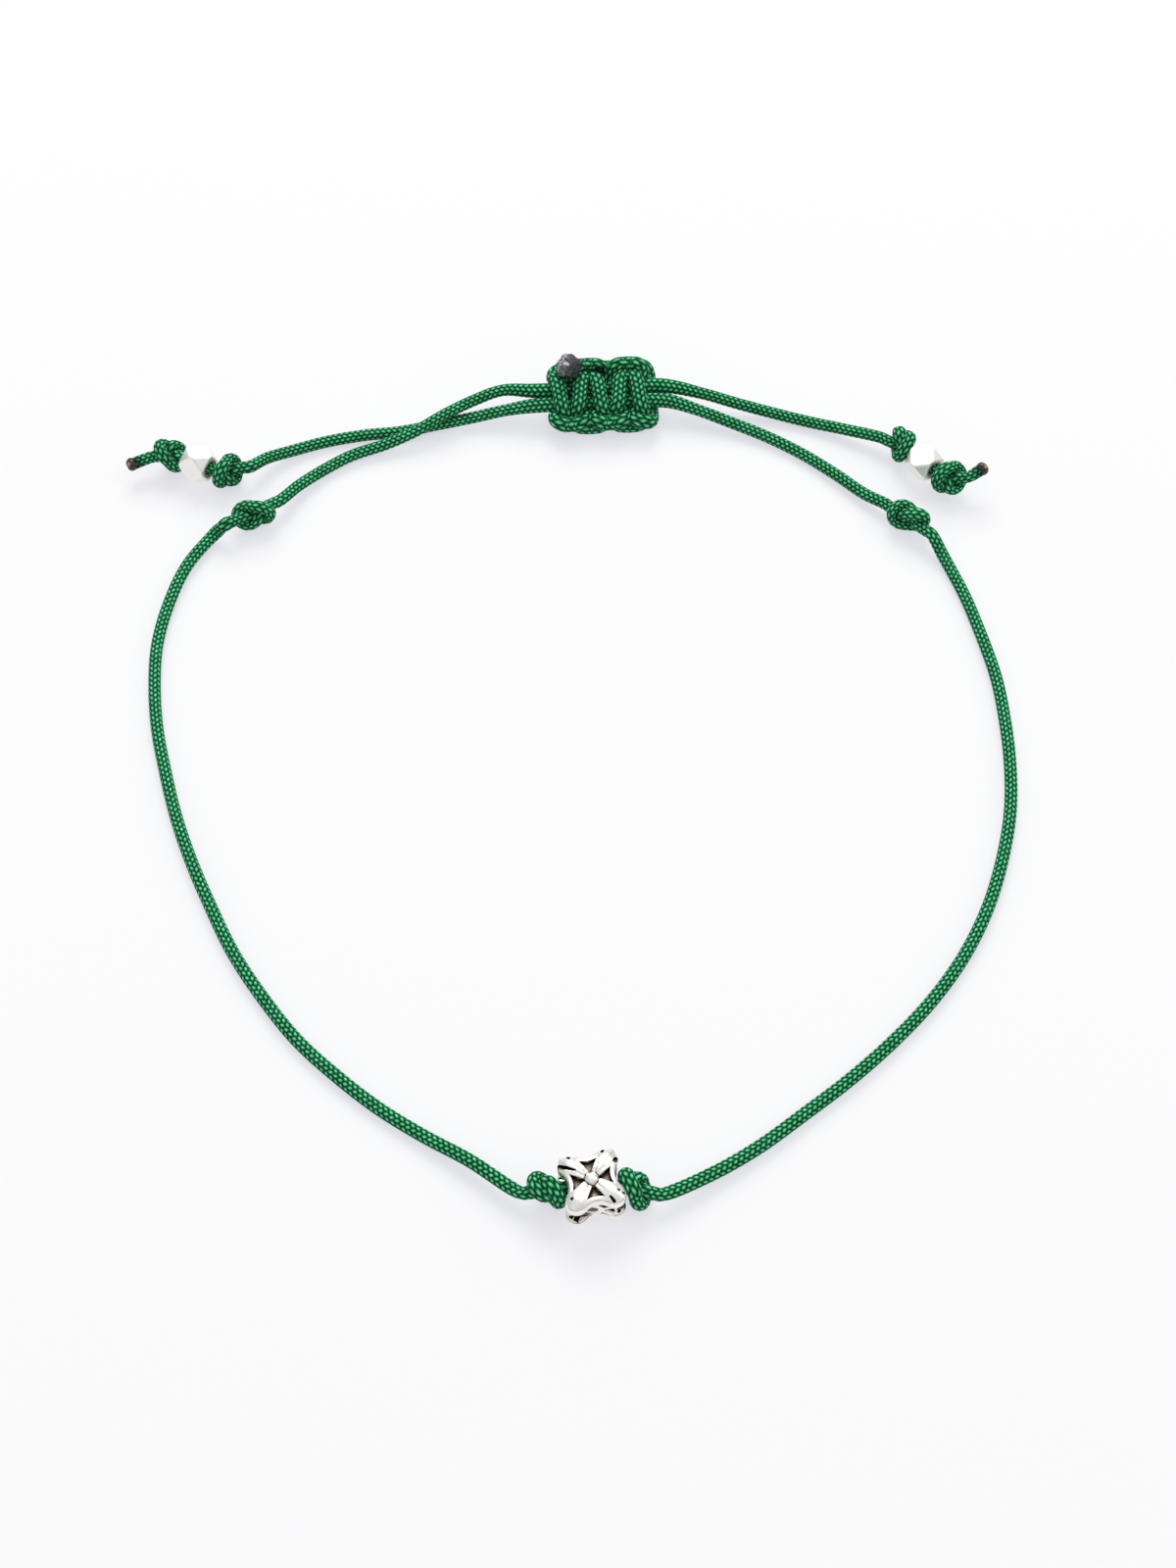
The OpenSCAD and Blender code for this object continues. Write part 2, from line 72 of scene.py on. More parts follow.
class Nodes:
    """Small helper that adds shader nodes to a material."""

    def __init__(self, name):
        self.material = bpy.data.materials.new(name)
        self.material.use_nodes = True
        self.tree = self.material.node_tree
        self.shader = self.tree.nodes["Principled BSDF"]

    def put(self, socket, value):
        if isinstance(value, bpy.types.NodeSocket):
            self.tree.links.new(value, socket)
        else:
            socket.default_value = value

    def set(self, name, value):
        """Sets one of the shader's own inputs."""
        self.put(self.shader.inputs[name], value)

    def math(self, operation, a, b):
        node = self.tree.nodes.new("ShaderNodeMath")
        node.operation = operation
        self.put(node.inputs[0], a)
        self.put(node.inputs[1], b)
        return node.outputs[0]

    def attribute(self, name):
        node = self.tree.nodes.new("ShaderNodeAttribute")
        node.attribute_name = name
        return node.outputs["Fac"]

    def noise(self, vector, scale, detail, roughness=0.5):
        node = self.tree.nodes.new("ShaderNodeTexNoise")
        self.put(node.inputs["Vector"], vector)
        self.put(node.inputs["Scale"], scale)
        self.put(node.inputs["Detail"], detail)
        self.put(node.inputs["Roughness"], roughness)
        return node.outputs["Fac"]

    def ramp(self, value, stops):
        node = self.tree.nodes.new("ShaderNodeValToRGB")
        elements = node.color_ramp.elements
        while len(elements) < len(stops):
            elements.new(0.5)
        for element, (place, colour) in zip(elements, stops):
            element.position = place
            element.color = (*colour, 1)
        self.put(node.inputs[0], value)
        return node.outputs[0]

    def mix(self, share, a, b, blend="MIX"):
        node = self.tree.nodes.new("ShaderNodeMix")
        node.data_type = "RGBA"
        node.blend_type = blend
        # These are the share and the two colours. The sockets between them serve other data types
        self.put(node.inputs[0], share)
        self.put(node.inputs[6], a)
        self.put(node.inputs[7], b)
        return node.outputs[2]

    def object_place(self):
        return self.tree.nodes.new("ShaderNodeTexCoord").outputs["Object"]

    def bump(self, height, strength, distance):
        node = self.tree.nodes.new("ShaderNodeBump")
        self.put(node.inputs["Strength"], strength)
        self.put(node.inputs["Distance"], distance)
        self.put(node.inputs["Height"], height)
        self.set("Normal", node.outputs[0])


def cord_material():
    """Green nylon, with painted shade between its yarns and a painted glint in the middle of each
    float.
    """
    n = Nodes("green_braided_nylon")
    # The cord's green, with painted shade that takes it to near black in the gaps between the yarns
    body = n.ramp(n.attribute("crest"), [
        (0.25, (0.000, 0.008, 0.002)),
        (0.60, (0.000, 0.060, 0.017)),
        (1.0, (0.003, 0.260, 0.092)),
    ])
    # Painted glint: pale mint in the middle of each float, standing in for the light it catches
    glint = n.math("POWER", n.attribute("float_glint"), 1.5)
    base = n.mix(glint, body, (0.240, 0.880, 0.460, 1))
    patches = n.noise(n.object_place(), scale=1100, detail=4, roughness=0.6)
    shade = n.ramp(patches, [(0.3, (0.62, 0.72, 0.62)), (0.7, (1.25, 1.15, 1.25))])
    base = n.mix(1.0, base, shade, "MULTIPLY")
    # Painted shade: towards near black on the side facing the floor and between turns
    base = n.mix(n.attribute("painted_shade"), base, (0.000, 0.006, 0.002, 1))
    n.set("Base Color", n.mix(n.attribute("scorch"), base, (0.006, 0.010, 0.008, 1)))
    n.set("Roughness", 0.55)
    n.set("Specular IOR Level", 0.03)
    n.set("Specular Tint", (0.5, 1.0, 0.7, 1))
    return n.material


def silver_material(name, roughness, metallic):
    """Silver, bright where it is rubbed, and dark in its hollows: partly its oxide, partly painted
    shade.
    """
    n = Nodes(name)
    place = n.object_place()
    spots = n.noise(place, scale=3500, detail=3)
    uneven = n.math("MULTIPLY", n.math("SUBTRACT", spots, 0.5), 0.25)
    oxide_and_shade = n.math("ADD", n.attribute("hollow"), uneven)
    # Bright silver through brown to near black in the hollows: partly oxide, partly painted shade
    metal = n.ramp(oxide_and_shade, [
        (0.15, (0.99, 0.97, 0.94)),
        (0.27, (0.70, 0.62, 0.53)),
        (0.41, (0.095, 0.068, 0.045)),
        (0.66, (0.010, 0.007, 0.006)),
    ])
    brown = n.ramp(spots, [(0.35, (0.07, 0.050, 0.036)), (0.65, (0.20, 0.155, 0.125))])
    n.set("Base Color", n.mix(n.attribute("stain_and_highlight"), metal, brown))
    n.set("Roughness", n.ramp(oxide_and_shade, [(0.35, (roughness,) * 3), (0.6, (0.6,) * 3)]))
    n.set("Metallic", metallic)
    n.bump(n.noise(place, scale=1600, detail=3), strength=0.3, distance=0.00005)
    return n.material


def tip_material():
    """Glossy brown melt, paler up to honey where a painted highlight is put."""
    n = Nodes("melted_brown_tip")
    place = n.object_place()
    spots = n.math("SUBTRACT", n.noise(place, scale=2600, detail=3), 0.5)
    highlight_and_spots = n.math("ADD", n.attribute("stain_and_highlight"), n.math("MULTIPLY", spots, 0.7))
    # Dark brown, going to pale honey in the painted highlight, with spots of uneven tone
    n.set("Base Color", n.ramp(highlight_and_spots, [
        (0.15, (0.020, 0.011, 0.007)),
        (0.55, (0.090, 0.048, 0.024)),
        (0.95, (0.420, 0.300, 0.170)),
    ]))
    n.set("Roughness", 0.18)
    n.bump(n.noise(place, scale=1800, detail=3), strength=0.4, distance=0.0001)
    return n.material


def burnt_material():
    """Charred lump with a dusting of pale ash."""
    n = Nodes("burnt_grey_end")
    place = n.object_place()
    patches = n.noise(place, scale=2200, detail=5, roughness=0.7)
    ash = n.math("ADD", patches, n.math("MULTIPLY", n.attribute("stain_and_highlight"), 0.20))
    n.set("Base Color", n.ramp(ash, [
        (0.42, (0.006, 0.007, 0.008)),
        (0.60, (0.036, 0.038, 0.046)),
        (0.71, (0.180, 0.180, 0.190)),
        (0.78, (0.700, 0.700, 0.700)),
    ]))
    n.set("Roughness", 0.4)
    n.bump(n.noise(place, scale=2500, detail=4), strength=0.9, distance=0.0002)
    return n.material


def floor_material():
    """A pale surface that gives off part of its light, so that its shadows stay faint."""
    n = Nodes("pale_floor")
    n.set("Base Color", (0.341, 0.347, 0.298, 1))
    n.set("Emission Color", (0.98, 0.968, 1.075, 1))
    n.set("Emission Strength", 0.60)
    n.set("Roughness", 0.9)
    n.set("Specular IOR Level", 0.1)
    return n.material


CORD = cord_material()
SILVER = silver_material("cast_silver", 0.36, 1)
FROSTED_SILVER = silver_material("frosted_silver", 0.42, 0.7)
TIP = tip_material()
BURNT = burnt_material()


# ---- Floor and light ----

def make_floor():
    mesh = bpy.data.meshes.new("floor")
    half = 0.8
    corners = [(-half, -half, 0), (half, -half, 0), (half, half, 0), (-half, half, 0)]
    mesh.from_pydata(corners, [], [(0, 1, 2, 3)])
    mesh.materials.append(floor_material())
    floor = bpy.data.objects.new("floor", mesh)
    floor.location = (0, 0, -0.00002)
    bpy.context.scene.collection.objects.link(floor)


def make_area_light(name, place, size, power, colour):
    data = bpy.data.lights.new(name, "AREA")
    data.shape = "RECTANGLE"
    data.size, data.size_y = size
    data.energy = power
    data.color = colour
    aim(bpy.data.objects.new(name, data), place, (0, 0, 0))


def make_world():
    """Soft white light from above that fades towards the horizon."""
    world = bpy.data.worlds.new("world")
    world.use_nodes = True
    tree = world.node_tree
    background = tree.nodes["Background"]
    place = tree.nodes.new("ShaderNodeTexCoord")
    split = tree.nodes.new("ShaderNodeSeparateXYZ")
    ramp = tree.nodes.new("ShaderNodeValToRGB")
    horizon, overhead = ramp.color_ramp.elements
    horizon.position, horizon.color = 0.0, (0.42, 0.43, 0.45, 1)
    overhead.position, overhead.color = 0.8, (1.0, 1.0, 1.0, 1)
    tree.links.new(place.outputs["Generated"], split.inputs[0])
    tree.links.new(split.outputs["Z"], ramp.inputs[0])
    tree.links.new(ramp.outputs[0], background.inputs["Color"])
    background.inputs["Strength"].default_value = 0.78
    bpy.context.scene.world = world


make_floor()
make_area_light(
    "back_light", place=(-0.05, 0.62, 0.62), size=(0.56, 0.50), power=4.7, colour=(1, 1, 1))
make_area_light(
    "side_light", place=(0.55, 0.10, 0.45), size=(0.30, 0.50), power=0.5, colour=(1, 0.98, 0.96))
make_world()


# ---- Cord routes, as in the part's source ----

# Overhand knot: the second half of its route in cord diameters. Columns: along the cord, up, across
OVERHAND = [
    (0.00, 0.75, 0.00), (-0.45, 0.75, 0.55), (-1.05, 0.35, 0.90), (-1.30, -0.35, 0.95),
    (-1.25, -0.95, 0.55), (-0.90, -1.25, 0.00), (-0.25, -1.05, -0.45), (0.20, -0.55, -0.55),
    (0.65, -0.20, -0.10), (1.20, 0.00, 0.02), (1.55, 0.00, 0.00),
]
# Knot sizes: along the cord, across it, and how thick its cord is in the solids, as shares
STOP_KNOT = (1.15 * 0.88, 0.88, 0.88)
SNUG_KNOT = (0.68, 1.04, 0.8)
# The real knots are pulled tighter than the solids, which keep a gap between their turns
DRAWN_TIGHT = 0.90
# How far from a knot's middle its own cord ends, in knot sizes, and the straight run after that
KNOT_REACH = 2.0
LEAD = 0.5
CAD_CORD_R = 0.48
SNUG_HALF = SNUG_KNOT[0] * 1.3 + SNUG_KNOT[2] * CAD_CORD_R
SNUG_ENTRY = SNUG_KNOT[0] * OVERHAND[-1][0]

# Seats: centre x, y, z, heading, climb, roll about the cord, and the hand a knot is tied with
STOP_LEFT = (-24.8, 22.9, 1.65, 215, 6, 100, -1)
STOP_RIGHT = (28.9, 22.5, 1.3, -46, 6, 260, -1)
CHARM = (2.9, -36.0, 1.9, 1, 0, 0)
SLIDING = (3.7, 35.2, 2.0, 3, 0, 25)
INNER_LEFT = (-27.3, 27.3, 1.8, 190, 2, 100, 1)
INNER_RIGHT = (28.8, 30.0, 1.5, -38, 6, 240, 1)
# The same without the centre: both knots beside the charm, then each tail's bead and outer knot
CHARM_KNOT_TURNS = [(2, 13, 285, 1), (-6, -12, 145, -1)]
LEFT_TAIL_TURNS = [(151, 0, 20), (176, -3, 10, -1)]
RIGHT_TAIL_TURNS = [(-51, 4, 20), (-22, 8, 60, 1)]
TIP_LEFT = (-35.3, 28.0, 1.6)
TIP_RIGHT = (35.2, 26.7, 2.6)
WAIST_R = 1.65
CHARM_GAP = 0.06
BEAD_SIDE = 2.4
BEAD_GAP = 0.16

BAND_LEFT = [
    (-27.8, 21.4, 0.9), (-29.9, 18.3, 0.6), (-31.1, 14.3, 0.5), (-31.6, 10.3, 0.5),
    (-31.4, 6.3, 0.5), (-30.8, 2.4, 0.5), (-29.8, -1.5, 0.5), (-28.6, -5.5, 0.5),
    (-27.1, -9.4, 0.5), (-25.3, -13.3, 0.5), (-23.3, -17.2, 0.5), (-20.9, -20.8, 0.5),
    (-18.1, -24.3, 0.5), (-15.1, -27.1, 0.5), (-12.1, -29.5, 0.5), (-8.9, -31.6, 0.6),
    (-5.6, -33.6, 1.0),
]
BAND_RIGHT = [
    (31.6, 19.1, 0.7), (33.0, 15.3, 0.5), (34.0, 11.3, 0.5), (34.8, 7.2, 0.5),
    (35.1, 3.1, 0.5), (35.1, -1.0, 0.5), (34.7, -5.1, 0.5), (33.7, -9.3, 0.5),
    (32.2, -13.5, 0.5), (30.1, -17.5, 0.5), (27.4, -21.2, 0.5), (24.4, -24.4, 0.5),
    (21.2, -27.3, 0.5), (17.9, -29.9, 0.5), (14.5, -32.5, 0.6), (11.1, -34.6, 0.8),
]
CLOSING_LEFT_RISE = [
    (-21.4, 26.3, 0.9), (-19.5, 28.2, 0.6), (-17.2, 29.8, 0.6), (-14.3, 30.9, 0.8),
    (-11.7, 32.0, 1.3), (-9.4, 33.4, 1.7), (-7.1, 34.8, 1.8), (-4.6, 35.7, 2.1),
]
CLOSING_LEFT_TAIL = [
    (12.4, 35.7, 1.7), (15.4, 35.1, 1.1), (18.4, 34.4, 0.7), (21.4, 33.5, 0.6),
    (24.4, 32.4, 0.9),
]
CLOSING_RIGHT_RISE = [
    (25.6, 25.5, 0.8), (23.3, 27.8, 0.6), (20.6, 30.1, 0.5), (17.7, 31.9, 0.6),
    (14.7, 33.2, 0.9), (11.8, 34.2, 1.4),
]
CLOSING_RIGHT_TAIL = [
    (-4.3, 34.1, 1.4), (-7.2, 33.7, 0.9), (-10.1, 33.2, 0.6), (-13.2, 32.5, 0.5),
    (-16.3, 32.1, 0.5), (-19.4, 31.4, 0.5), (-22.3, 30.2, 0.7), (-24.2, 29.0, 1.2),
]

# Sliding knot: from its turn at one side to the middle of its bar. Columns: along, across, up
HALF_BAR = [
    (0.90, -2.45, -0.50), (1.25, -2.45, -0.45), (1.85, -2.35, -0.55), (2.20, -2.05, -0.35),
    (2.25, -1.55, 0.00), (2.20, -1.45, 0.50), (1.95, -1.00, 0.95), (1.80, 0.00, 1.05),
]
STRAND_JOIN = [
    (0.40, 2.00, -0.80), (0.60, 1.10, -1.10), (0.65, 0.20, -1.15), (0.65, -0.80, -1.10),
    (0.60, -1.70, -0.60), (0.40, -2.30, 0.00),
]
UPPER_END = (2.70, 2.05, 1.70)
LOWER_END = (1.70, -2.40, -0.50)
# Where the sliding knot's cord is darkened between its two bights at the back
DARK_AT_BACK = (5.6, 1.9, 0.8)
HALF_KNOTS = 5
BAR_STEP = HALF_BAR[-1][0]
STRANDS_MIDDLE = HALF_KNOTS * BAR_STEP / 2 + 1.04
SLIDING_SCALE = (0.92, 1.04, 1.04)
# The closing cords' straight run through the sliding knot: half its length, and their offset
CORE_HALF = 5.4
CORE_OFFSET = 0.64


def turned(a, b, degrees):
    c, s = math.cos(math.radians(degrees)), math.sin(math.radians(degrees))
    return a * c - b * s, a * s + b * c


def placed(seat, p):
    """A point of a piece's own frame, in the bracelet's frame."""
    x, y, z = p
    y, z = turned(y, z, seat[5])
    x, z = turned(x, z, seat[4])
    x, y = turned(x, y, seat[3])
    return np.array((seat[0] + x, seat[1] + y, seat[2] + z))


def beyond(seat, distance):
    return placed(seat, (distance, 0, 0))


def direction(heading, climb):
    return placed((0, 0, 0, heading, climb, 0), (1, 0, 0))


def unit(v):
    return v / np.linalg.norm(v)


def next_seat(seat, out, turns, into):
    """The seat of the next piece: out along this one's cord, then into its own."""
    p = beyond(seat, out) + into * direction(turns[0], turns[1])
    return (*p, *turns)


def catmull_rom(points, steps):
    """Smooth curve through the points, with this many steps between two of them."""
    p = np.array(points, float)
    p = np.vstack([2 * p[0] - p[1], p, 2 * p[-1] - p[-2]])
    t = (np.arange(steps) / steps)[:, None]
    out = []
    for a, b, c, d in zip(p, p[1:], p[2:], p[3:]):
        square, cube = 2 * a - 5 * b + 4 * c - d, 3 * b - a - 3 * c + d
        out.append(0.5 * (2 * b + (c - a) * t + square * t**2 + cube * t**3))
    return np.vstack(out + [p[-2:-1]])


def overhand_route(seat, size):
    ahead = [(x * size[0], y * size[1], z * size[1] * seat[6]) for x, y, z in OVERHAND]
    behind = [(-x, y, -z) for x, y, z in reversed(ahead)]
    return [placed(seat, p) for p in catmull_rom(behind + ahead[1:], 5)]


CHARM_OUT = WAIST_R + CHARM_GAP + SNUG_HALF - SNUG_ENTRY
CHARM_LEFT = next_seat(CHARM, -CHARM_OUT, CHARM_KNOT_TURNS[0], -SNUG_ENTRY)
CHARM_RIGHT = next_seat(CHARM, CHARM_OUT, CHARM_KNOT_TURNS[1], SNUG_ENTRY)
BEAD_OUT = BEAD_SIDE / 2 + BEAD_GAP + SNUG_HALF - SNUG_ENTRY


def bead_seat(inner, turns):
    return next_seat(inner, SNUG_ENTRY, turns[0], BEAD_OUT)


def outer_seat(inner, turns):
    return next_seat(bead_seat(inner, turns), BEAD_OUT, turns[1], SNUG_ENTRY)


def knot_stretch(name, seat, size, before, after):
    """Points of a knot, with the cord before and after it."""
    knot = overhand_route(seat, [share * DRAWN_TIGHT for share in size])
    return (name, [*before, *knot, *after])


def tail_stretches(side, inner, turns, tip):
    """A tail's inner and outer knot. They meet in the middle of the bead."""
    bead = beyond(bead_seat(inner, turns), 0)
    outer = outer_seat(inner, turns)
    end = beyond(outer, SNUG_ENTRY)
    bend = end + LEAD * unit(direction(outer[3], outer[4]) + unit(np.array(tip) - end))
    start = beyond(inner, -SNUG_KNOT[0] * KNOT_REACH)
    return (
        knot_stretch("tail_knot_inner_" + side, inner, SNUG_KNOT, [start], [bead]),
        knot_stretch("tail_knot_outer_" + side, outer, SNUG_KNOT, [bead], [bend, np.array(tip)]),
    )


def stop_stretch(name, seat):
    end = KNOT_REACH * STOP_KNOT[0]
    return knot_stretch(name, seat, STOP_KNOT, [beyond(seat, -end)], [beyond(seat, end)])


def charm_stretch(name, seat, side):
    """A knot beside the charm, with its share of the cord inside it."""
    end, middle = [beyond(seat, side * SNUG_KNOT[0] * KNOT_REACH)], [np.array(CHARM[:3])]
    before, after = (end, middle) if side < 0 else (middle, end)
    return knot_stretch(name, seat, SNUG_KNOT, before, after)


def leaving(seat, side, size):
    start = KNOT_REACH * size[0]
    return [beyond(seat, side * start), beyond(seat, side * (start + LEAD))]


def open_stretch(name, stop, stop_side, points, end, end_side):
    """Cord from one side of a stop knot, through the points, to one side of another knot."""
    arriving = leaving(end, end_side, SNUG_KNOT)[::-1]
    return (name, leaving(stop, stop_side, STOP_KNOT) + points + arriving)


def core(side, order):
    return [placed(SLIDING, (x * CORE_HALF, side * CORE_OFFSET, 0)) for x in order]


def backwards(stretch):
    return (stretch[0], stretch[1][::-1])


def main_cord_stretches():
    """The one long cord, from the left-hand tip to the right-hand tip, as named stretches."""
    left_inner, left_outer = tail_stretches("left", INNER_LEFT, LEFT_TAIL_TURNS, TIP_LEFT)
    right_inner, right_outer = tail_stretches("right", INNER_RIGHT, RIGHT_TAIL_TURNS, TIP_RIGHT)
    over = CLOSING_LEFT_RISE + core(1, (-1, 0, 1)) + CLOSING_LEFT_TAIL
    under = CLOSING_RIGHT_RISE + core(-1, (1, 0, -1)) + CLOSING_RIGHT_TAIL
    return [
        backwards(left_outer),
        backwards(left_inner),
        backwards(open_stretch("closing_cord_right", STOP_RIGHT, -1, under, INNER_LEFT, -1)),
        stop_stretch("stop_knot_right", STOP_RIGHT),
        open_stretch("band_cord_right", STOP_RIGHT, 1, BAND_RIGHT, CHARM_RIGHT, 1),
        backwards(charm_stretch("charm_knot_right", CHARM_RIGHT, 1)),
        backwards(charm_stretch("charm_knot_left", CHARM_LEFT, -1)),
        backwards(open_stretch("band_cord_left", STOP_LEFT, 1, BAND_LEFT, CHARM_LEFT, -1)),
        backwards(stop_stretch("stop_knot_left", STOP_LEFT)),
        open_stretch("closing_cord_left", STOP_LEFT, -1, over, INNER_RIGHT, -1),
        right_inner,
        right_outer,
    ]


def bar(k):
    """One half knot's way over the upper side, from one long side's turn to the other's."""
    down = [(2 * BAR_STEP - x, -y, z) for x, y, z in HALF_BAR[-2::-1]]
    sign = 1 if k % 2 == 1 else -1
    return [(x + (k - 1) * BAR_STEP, sign * y, z) for x, y, z in HALF_BAR + down]


def in_strands(p):
    """A point of the sliding knot's own frame, in the bracelet's frame."""
    x, y, z = p
    sx, sy, sz = SLIDING_SCALE
    return placed(SLIDING, ((x - STRANDS_MIDDLE) * sx, y * sy, z * sz))


def sliding_knot_route():
    """Along the upper side, round the far end, and back along the guessed lower side."""
    over = []
    for k in range(1, HALF_KNOTS + 1):
        over += bar(k)[3 if k == 1 else 1:-1 if k == HALF_KNOTS else None]
    under = [(x, -y, -z) for x, y, z in over]
    join = [(over[-1][0] + x, y, z) for x, y, z in STRAND_JOIN]
    route = [in_strands(p) for p in catmull_rom(over + join + under[::-1], 5)]
    return [in_strands(LOWER_END)] + route + [in_strands(UPPER_END)]


# ---- Braided cord ----

FULL_R = 0.5
# Radius inside an overhand knot, and of the closing cords where the sliding knot holds them
KNOTTED_R = 0.51
GRIPPED_R = 0.64
GRIPPED_BEYOND = 0.9
# The sliding knot's own cord, and how much it swells at the knot's two long sides
STRAND_R = 0.54
STRAND_SWELL = 0.08
# A cord wrapped tightly is spread across by this share
WRAPPED_WIDER = 0.20
# A bend flattens the cord by its curvature times its radius and BEND_FLATTENS, after BEND_FREE
# and up to MOST_FLAT. It widens by a share of that, and its yarns are pulled smooth
BEND_FLATTENS = 0.32
BEND_FREE = 0.02
MOST_FLAT = 0.2
BEND_WIDENS = 0.7
BEND_SMOOTHS = 1.8
# Mesh: points round the cord, and the distance between rings
SIDES = 52
RING_STEP = 0.078
# Spacing of the dense curve from which a route's even points are taken
DENSE_STEP = 0.02
# Yarns round the cord, each over two and under two, and the length after which the braid repeats
CARRIERS = 20
GRAIN = 0.47
# A yarn's half width in yarn crossings, its height, and its rise and fall, for a cord of 1 mm
YARN_HALF = 0.56
YARN_ROUND = 0.055
YARN_WAVE = 0.030
# How dark the painted shade on the side towards the floor gets, and what is left of that beside
# another turn
FLOOR_SHADE = 0.95
FLOOR_SHADE_LEFT = 0.4
# How dark the painted shade gets where another turn touches, and the distance in which that fades
TURN_SHADE = 0.6
TURN_FADE = 0.14
# How far a neighbouring turn is looked for, and what counts as the same turn along the cord
SHADE_REACH = 1.9
SAME_TURN = 1.6


def smooth_curve(points, spacing):
    """Dense curve through unevenly spaced points, and the dense index of each point."""
    p = np.array(points, float)
    gaps = np.linalg.norm(np.diff(p, axis=0), axis=1)
    w = np.diff(np.concatenate([[0], np.cumsum(np.sqrt(gaps))]))
    slope = np.diff(p, axis=0) / w[:, None]
    tangent = np.zeros_like(p)
    tangent[1:-1] = slope[:-1] * w[1:, None] + slope[1:] * w[:-1, None]
    tangent[1:-1] /= (w[:-1] + w[1:])[:, None]
    tangent[0], tangent[-1] = slope[0], slope[-1]
    out, marks = [], [0]
    for i, h in enumerate(w):
        n = max(2, int(round(gaps[i] / spacing)))
        u = (np.arange(n) / n)[:, None]
        out.append(
            (2 * u**3 - 3 * u**2 + 1) * p[i] + (u**3 - 2 * u**2 + u) * h * tangent[i]
            + (-2 * u**3 + 3 * u**2) * p[i + 1] + (u**3 - u**2) * h * tangent[i + 1]
        )
        marks.append(marks[-1] + n)
    return np.vstack(out + [p[-1:]]), marks


def smoothed(values, width):
    """Moving average along the first axis, twice."""
    kernel = np.ones(width) / width
    margins = [(width // 2, width - 1 - width // 2)] + [(0, 0)] * (values.ndim - 1)
    for _ in range(2):
        padded = np.pad(values, margins, mode="edge")
        values = np.apply_along_axis(np.convolve, 0, padded, kernel, "valid")
    return values


def travelling_frame(line):
    """Direction and two side directions at every point, without twist."""
    ahead = np.gradient(line, axis=0)
    ahead /= np.linalg.norm(ahead, axis=1)[:, None]
    side = np.zeros_like(line)
    side[0] = unit(np.cross(ahead[0], (0.1, 0.2, 1.0)))
    for i in range(1, len(line)):
        v1 = line[i] - line[i - 1]
        c1 = v1 @ v1
        r = side[i - 1] - (2 / c1) * (v1 @ side[i - 1]) * v1
        t = ahead[i - 1] - (2 / c1) * (v1 @ ahead[i - 1]) * v1
        v2 = ahead[i] - t
        c2 = v2 @ v2
        side[i] = r - (2 / c2) * (v2 @ r) * v2 if c2 > 1e-16 else r
    return ahead, side, np.cross(ahead, side)


def braid_surface(around, along):
    """The braid at points of the cord, counted in yarn crossings round it and down its length.

    Returns how far the surface lies below the cord's full radius, its crest, from 0 in a gap
    to 1 on top, and the strength of its painted glint, which is 1 in the middle of each float."""
    p, q = (around - along) / 2, (around + along) / 2
    i, j = np.round(p), np.round(q)

    def yarn(off, wave):
        round_part = np.sqrt(np.clip(1 - (off / YARN_HALF) ** 2, 0, 1))
        return YARN_ROUND * round_part + YARN_WAVE * np.cos(wave)

    first_wave = 2 * np.pi * (i + q - 0.5) / 4
    second_wave = 2 * np.pi * (p + j - 2.5) / 4
    first, second = yarn(p - i, first_wave), yarn(q - j, second_wave)
    height = np.maximum(first, second)
    off = np.where(first > second, p - i, q - j)
    wave = np.where(first > second, first_wave, second_wave)
    top = YARN_ROUND + YARN_WAVE
    bottom = 0.25 * top
    crest = np.clip((height - bottom) / (top - bottom), 0, 1)
    # Painted glint: strongest in the middle of each float
    float_glint = np.clip(1 - (off / 0.5) ** 2, 0, 1) * np.clip(np.cos(wave), 0, 1)**3.5
    return top - height, crest, float_glint


class Route:
    """A long cord: evenly spaced points with frames, arc length, radius and bend."""

    def __init__(self, stretches, radius_of):
        points, self.cuts = [], []
        for name, own in stretches:
            own = [np.array(p, float) for p in own]
            start = len(points) - 1 if points else 0
            points += own[1:] if points else own
            self.cuts.append((name, start, len(points) - 1))
        dense, marks = smooth_curve(points, DENSE_STEP)
        steps = np.linalg.norm(np.diff(dense, axis=0), axis=1)
        length = np.concatenate([[0], np.cumsum(steps)])
        self.s = np.linspace(0, length[-1], int(length[-1] / RING_STEP) + 1)
        line = np.stack([np.interp(self.s, length, dense[:, k]) for k in range(3)], 1)
        self.line = smoothed(line, 3)
        self.point_s = length[marks]
        self.radius = smoothed(np.interp(self.s, self.point_s, radius_of(self.cuts, points)), 9)
        self.ahead, self.side, self.up = travelling_frame(self.line)
        self.bend = smoothed(np.gradient(self.ahead, self.s, axis=0), 9)

    def ring_of(self, point_index):
        return int(round(self.point_s[point_index] / self.s[-1] * (len(self.s) - 1)))


class Neighbours:
    """Finds the turns of any cord that lie close to a point of one cord."""

    def __init__(self, routes):
        self.tree = KDTree(sum(len(route.line) for route in routes))
        self.places = []
        for route in routes:
            for point, place in zip(route.line, route.s):
                self.tree.insert(point, len(self.places))
                self.places.append((route, place))
        self.tree.balance()

    def of(self, route, s, point):
        found = []
        for near, k, _ in self.tree.find_range(point, SHADE_REACH):
            owner, place = self.places[k]
            if owner is not route or abs(place - s) > SAME_TURN:
                found.append(near)
        return np.array(found)


